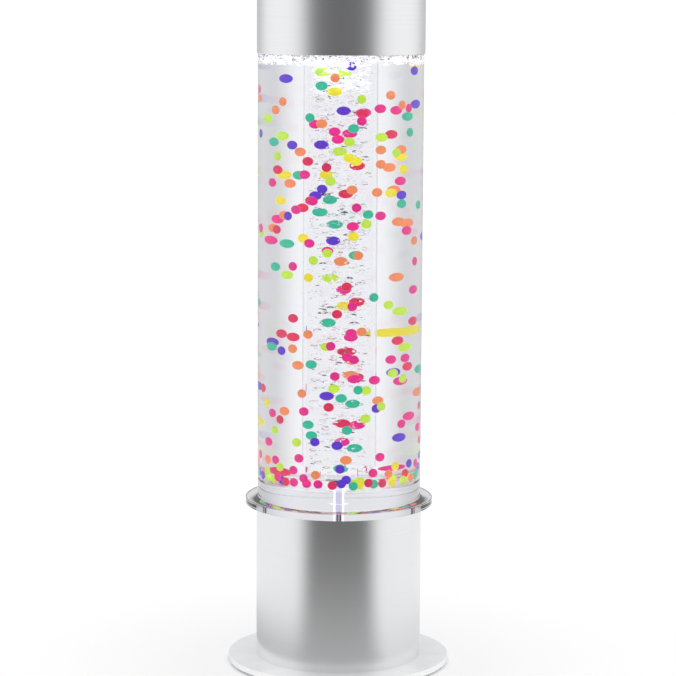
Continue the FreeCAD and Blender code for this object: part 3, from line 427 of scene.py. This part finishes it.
def make_tank(finishes):
    """Flange, tank floor and tube as the glued joints make them: one clear piece."""
    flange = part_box("flange")
    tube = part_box("outer_tube")
    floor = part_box("tank_floor")[1].z
    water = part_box("water")[1].z
    rim, outer = flange[1].x, tube[1].x
    wall = outer - TUBE_WALL
    low, high = flange[0].z + HAIR, flange[1].z
    bevel = 0.4 * MM
    weld = 0.5 * MM
    tank = revolved("welded_tank", [
        (NOZZLE_HOLE, low),
        (rim - bevel, low),
        (rim, low + bevel),
        (rim, high - bevel),
        (rim - bevel, high),
        (outer + weld, high),
        (outer + 0.3 * weld, high + 0.3 * weld),
        (outer, high + weld),
        (outer, floor),
        (outer, tube[1].z - bevel),
        (outer - bevel, tube[1].z),
        (wall + bevel, tube[1].z),
        (wall, tube[1].z - bevel),
        (wall, water),
        (wall, floor),
        (NOZZLE_HOLE, floor),
    ], 192, ring=True)
    give(tank, "base", "acrylic_clear", finishes["acrylic_clear"], "outer_tube", "tank_floor", "flange")
    wet = clear("wet_acrylic", ACRYLIC_TINT, ACRYLIC_IN_WATER_IOR)
    # The wet and the thick acrylic round the nozzle both get the painted glow of LED light.
    painted_glow_near_axis(wet, PAINTED_GLOW_RADIUS, LED_LIGHT, PAINTED_GLOW_STRENGTH)
    give_where(tank, wet, lambda spot: from_axis(spot) < wall + HAIR and floor - HAIR < spot.z < water)
    thick = clear("thick_acrylic", THICK_TINT, ACRYLIC_IOR)
    painted_glow_near_axis(thick, PAINTED_GLOW_RADIUS, LED_LIGHT, PAINTED_GLOW_STRENGTH)
    give_where(tank, thick, lambda spot: spot.z < floor - HAIR)


def make_water(finishes):
    """The water fills the tube and climbs its wall a little at the top."""
    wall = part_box("outer_tube")[1].x - TUBE_WALL - HAIR
    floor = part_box("tank_floor")[1].z + HAIR
    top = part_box("water")[1].z
    rise = 1.2 * MM
    water = revolved("tank_water", [
        (0.0, floor),
        (wall, floor),
        (wall, top),
        (wall - 0.4 * MM, top - 0.5 * rise),
        (wall - 1.4 * MM, top - 0.85 * rise),
        (wall - 3.0 * MM, top - rise),
        (0.0, top - rise),
    ], 128)
    give(water, "fill", "water", finishes["water"], "water")
    touching = clear("water_on_acrylic", (1.0, 1.0, 1.0), 1.0)
    touching.node_tree.nodes["Principled BSDF"].inputs["Alpha"].default_value = 0.0
    give_where(water, touching, lambda spot: from_axis(spot) > wall - HAIR or spot.z < floor + HAIR)


# Bubbles

def bubble_shape(name, squat, dent):
    """One small bubble: wider than high, its underside pushed in as on a rising bubble."""
    bpy.ops.object.select_all(action="DESELECT")
    bpy.ops.mesh.primitive_uv_sphere_add(segments=8, ring_count=6, radius=1.0)
    piece = named(name)
    bpy.ops.object.mode_set(mode="EDIT")
    bpy.ops.mesh.select_all(action="SELECT")
    bpy.ops.transform.resize(value=(1.0, 1.0, squat))
    bpy.ops.mesh.select_all(action="DESELECT")
    shape = bmesh.from_edit_mesh(piece.data)
    for point in shape.verts:
        point.select_set(point.co.z < -0.45 * squat)
    shape.select_flush(True)
    bmesh.update_edit_mesh(piece.data)
    bpy.ops.transform.translate(value=(0.0, 0.0, dent))
    bpy.ops.object.mode_set(mode="OBJECT")
    bpy.ops.object.shade_smooth()
    return piece


def scattered(name, shapes, spots):
    """Copies of the shapes at the spots, each turned and sized, joined into one piece."""
    copies = []
    for number, (spot, size, turn, tilt) in enumerate(spots):
        twin = shapes[number % len(shapes)].copy()
        twin.data = twin.data.copy()
        bpy.context.collection.objects.link(twin)
        twin.matrix_world = (
            Matrix.Translation(spot)
            @ Matrix.Rotation(turn, 4, "Z")
            @ Matrix.Rotation(tilt, 4, "X")
            @ Matrix.Diagonal((size, size, size, 1.0))
        )
        copies.append(twin)
    bpy.context.view_layer.update()
    bpy.ops.object.select_all(action="DESELECT")
    for twin in copies:
        twin.select_set(True)
    bpy.context.view_layer.objects.active = copies[0]
    bpy.ops.object.join()
    piece = named(name)
    seat(piece)
    return piece


def make_bubbles(finishes):
    draw = random.Random(23)
    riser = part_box("riser_tube")
    inside = riser[1].x - 2 * MM
    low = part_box("air_nozzle")[1].z + 2 * MM
    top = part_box("water")[1].z - 1.2 * MM
    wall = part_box("outer_tube")[1].x - TUBE_WALL
    shapes = [
        bubble_shape("round_bubble", 0.92, 0.05),
        bubble_shape("flat_bubble", 0.6, 0.18),
        bubble_shape("cap_bubble", 0.7, 0.4),
    ]
    air = clear("air_bubble", (1.0, 1.0, 1.0), WATER_IOR, 0.0, 0.0)
    # The froth has a painted glow: emission that makes the white foam look lit.
    froth = plastic("froth", (0.96, 0.97, 1.0), 0.3, 900.0, 0.0, Emission_Color=(0.93, 0.93, 1.0, 1.0))
    froth.node_tree.nodes["Principled BSDF"].inputs["Emission Strength"].default_value = 0.75
    froth.node_tree.nodes["Principled BSDF"].inputs["IOR"].default_value = BEAD_IN_WATER_IOR

    def sprinkle(count, least, most, size, level):
        """Spots between two radii, with a size and a level drawn for each."""
        spots = []
        for number in range(count):
            reach = size()
            radius = math.sqrt(draw.uniform(least ** 2, (most - reach) ** 2))
            angle = draw.uniform(0, 2 * math.pi)
            spot = (radius * math.cos(angle), radius * math.sin(angle), level(reach))
            spots.append((spot, reach, draw.uniform(0, 6.28), draw.uniform(-0.5, 0.5)))
        return spots

    rising = sprinkle(
        1300, 0.0, inside,
        lambda: MM * min(0.4 + draw.expovariate(1.7), 2.8),
        lambda reach: low + reach + (top - low - 2 * reach) * draw.random() ** 0.8,
    )
    give(scattered("rising_bubbles", shapes, rising), "fill", "water", air)
    specks = sprinkle(
        420, 0.0, inside,
        lambda: MM * draw.uniform(0.35, 0.95),
        lambda reach: low + reach + (top - low - 2 * reach) * draw.random(),
    )
    plume = sprinkle(
        380, 0.0, inside,
        lambda: MM * draw.uniform(0.5, 1.6),
        lambda reach: top - reach - 34 * MM * draw.random() ** 1.8,
    )
    ring = sprinkle(
        1000, wall - 9 * MM, wall - HAIR,
        lambda: MM * draw.uniform(0.6, 1.8),
        lambda reach: top - reach - 8 * MM * draw.random() ** 1.4,
    )
    give(scattered("froth_in_riser", shapes, specks + plume), "fill", "water", froth)
    give(scattered("surface_froth", shapes, ring), "fill", "water", froth)
    foam = sprinkle(
        500, 0.0, wall - 2 * MM,
        lambda: MM * draw.uniform(0.6, 2.0),
        lambda reach: top - reach - 3 * MM * draw.random(),
    )
    give(scattered("surface_foam", shapes, foam), "fill", "water", air)
    for shape in shapes:
        bpy.data.objects.remove(shape)


# Studio: camera, light tent, floor

CAMERA_X = -0.0015
CAMERA_BACK = 2.277
CAMERA_HEIGHT = 0.6324
CAMERA_PITCH = math.radians(8.25)
CAMERA_ROLL = math.radians(0.3)
LENS_MM = 133.7
SENSOR_MM = 36.0


def make_camera():
    eye = bpy.data.cameras.new("camera")
    eye.lens = LENS_MM
    eye.sensor_width = SENSOR_MM
    eye.clip_end = 200.0
    camera = bpy.data.objects.new("camera", eye)
    scene.collection.objects.link(camera)
    camera.matrix_world = (
        Matrix.Translation((CAMERA_X, -CAMERA_BACK, CAMERA_HEIGHT))
        @ Matrix.Rotation(math.pi / 2 - CAMERA_PITCH, 4, "X")
        @ Matrix.Rotation(CAMERA_ROLL, 4, "Z")
    )
    scene.camera = camera


def make_world():
    """White to look at, and a little stronger as the light that falls on matt things."""
    world = bpy.data.worlds.new("studio")
    world.use_nodes = True
    tree = world.node_tree
    path = node(tree, "ShaderNodeLightPath").outputs
    seen = maths(tree, "ADD", path["Is Camera Ray"], path["Is Glossy Ray"])
    seen = maths(tree, "MINIMUM", maths(tree, "ADD", seen, path["Is Transmission Ray"]), 1.0)
    feed(tree, spread(tree, seen, WORLD_LIGHT, 1.0), tree.nodes["Background"].inputs["Strength"])
    tree.nodes["Background"].inputs["Color"].default_value = (1.0, 1.0, 1.0, 1.0)
    world.cycles.sampling_method = "NONE"
    scene.world = world


def stage_surface(name, colour):
    made = bpy.data.materials.new(name)
    made.use_nodes = True
    shader = made.node_tree.nodes["Principled BSDF"]
    shader.inputs["Base Color"].default_value = (*colour, 1.0)
    shader.inputs["Roughness"].default_value = 0.9
    return made


def make_floor():
    bpy.ops.object.select_all(action="DESELECT")
    bpy.ops.mesh.primitive_circle_add(vertices=96, radius=60.0, fill_type="NGON")
    floor = named("floor")
    floor.location.z = -0.0002
    seat(floor)
    floor.data.materials.append(stage_surface("floor", (0.97, 0.97, 0.97)))
    floor.visible_glossy = False
    floor.visible_transmission = False


WORLD_LIGHT = 1.1
MIRRORED_TENT = [
    # degrees from the front, brightness
    (0, 0.15),
    (22, 0.165),
    (34, 0.21),
    (43, 0.36),
    (52, 0.66),
    (62, 0.92),
    (75, 1.0),
    (112, 1.0),
    (128, 0.86),
    (142, 0.62),
    (180, 0.52),
]
TENT_BEHIND_GLASS = [
    (0, 0.8),
    (70, 0.8),
    (100, 0.72),
    (128, 0.62),
    (142, 0.82),
    (154, 1.0),
    (180, 1.02),
]


def only_for(piece, rays):
    for kind in ("camera", "diffuse", "glossy", "transmission", "shadow"):
        setattr(piece, "visible_" + kind, kind == rays)
    piece.data.materials[0].cycles.emission_sampling = "NONE"


def from_front(tree):
    """The angle from the front as a part of half a turn, the same to the left and to the right."""
    parts = node(tree, "ShaderNodeSeparateXYZ")
    feed(tree, here(tree), parts.inputs[0])
    angle = maths(tree, "ARCTAN2", parts.outputs[0], maths(tree, "MULTIPLY", parts.outputs[1], -1.0))
    return maths(tree, "DIVIDE", maths(tree, "ABSOLUTE", angle), math.pi)


def make_tent(name, radius, brightness, rays):
    """A light tent round the lamp, as one kind of ray sees it."""
    bpy.ops.object.select_all(action="DESELECT")
    bpy.ops.mesh.primitive_cylinder_add(vertices=96, radius=radius, depth=2 * radius, end_fill_type="NOTHING")
    tent = named(name)
    tent.location.z = radius / 3
    seat(tent)
    made = bpy.data.materials.new(name)
    made.use_nodes = True
    tree = made.node_tree
    tree.nodes.remove(tree.nodes["Principled BSDF"])
    ramp = node(tree, "ShaderNodeValToRGB")
    ramp.color_ramp.interpolation = "B_SPLINE"
    stops = ramp.color_ramp.elements
    while len(stops) < len(brightness):
        stops.new(0.5)
    for stop, (degrees, bright) in zip(stops, brightness):
        stop.position = degrees / 180
        stop.color = (bright, bright, bright * 1.01, 1.0)
    feed(tree, from_front(tree), ramp.inputs[0])
    shine = node(tree, "ShaderNodeEmission")
    feed(tree, ramp.outputs[0], shine.inputs["Color"])
    feed(tree, shine.outputs[0], tree.nodes["Material Output"].inputs["Surface"])
    tent.data.materials.append(made)
    only_for(tent, rays)


def fading(tree, value, start, end, first, last):
    """The value between start and end moved softly to first and last."""
    made = node(tree, "ShaderNodeMapRange", interpolation_type="SMOOTHSTEP")
    feed(tree, value, made.inputs["Value"])
    for word, entry in (("From Min", start), ("From Max", end), ("To Min", first), ("To Max", last)):
        if isinstance(entry, (int, float)):
            made.inputs[word].default_value = entry
        else:
            feed(tree, entry, made.inputs[word])
    return made.outputs["Result"]


def make_table_sheen():
    """The floor near the lamp, as the metal mirrors it: lit at the sides, dim towards the camera."""
    bpy.ops.object.select_all(action="DESELECT")
    bpy.ops.mesh.primitive_circle_add(vertices=64, radius=1.6, fill_type="NGON")
    sheen = named("table_sheen")
    sheen.location.z = -0.0001
    seat(sheen)
    made = bpy.data.materials.new("table_sheen")
    made.use_nodes = True
    tree = made.node_tree
    tree.nodes.remove(tree.nodes["Principled BSDF"])
    length = node(tree, "ShaderNodeVectorMath", operation="LENGTH")
    feed(tree, here(tree), length.inputs[0])
    away = length.outputs["Value"]
    parts = node(tree, "ShaderNodeSeparateXYZ")
    feed(tree, here(tree), parts.inputs[0])
    side = fading(tree, from_front(tree), 0.14, 0.36, 0.0, 1.0)
    front_glow = fading(tree, away, 0.12, 0.8, 0.45, 0.105)
    near_side = fading(tree, parts.outputs[0], -0.12, 0.12, 0.55, 0.78)
    side_glow = fading(tree, away, 0.12, 0.36, near_side, 0.95)
    glow = fading(tree, side, 0.0, 1.0, front_glow, side_glow)
    shine = node(tree, "ShaderNodeEmission")
    feed(tree, glow, shine.inputs["Strength"])
    through = node(tree, "ShaderNodeBsdfTransparent")
    both = node(tree, "ShaderNodeMixShader")
    feed(tree, fading(tree, away, 0.7, 1.5, 0.0, 1.0), both.inputs[0])
    feed(tree, shine.outputs[0], both.inputs[1])
    feed(tree, through.outputs[0], both.inputs[2])
    feed(tree, both.outputs[0], tree.nodes["Material Output"].inputs["Surface"])
    sheen.data.materials.append(made)
    only_for(sheen, "glossy")


def allow_deep_glass():
    """A line of sight through the tube crosses many clear walls."""
    scene.cycles.max_bounces = 40
    scene.cycles.transmission_bounces = 40
    scene.cycles.transparent_max_bounces = 24


finishes = make_finishes()
coat_nodes(finishes)
recoat("riser_tube", clear("riser_in_water", ACRYLIC_TINT, ACRYLIC_IN_WATER_IOR))
make_tank(finishes)
make_water(finishes)
make_bubbles(finishes)
make_camera()
make_world()
make_floor()
make_tent("mirrored_tent", 12.0, MIRRORED_TENT, "glossy")
make_tent("tent_behind_glass", 11.0, TENT_BEHIND_GLASS, "transmission")
make_table_sheen()
allow_deep_glass()

scene.view_settings.view_transform = "Standard"
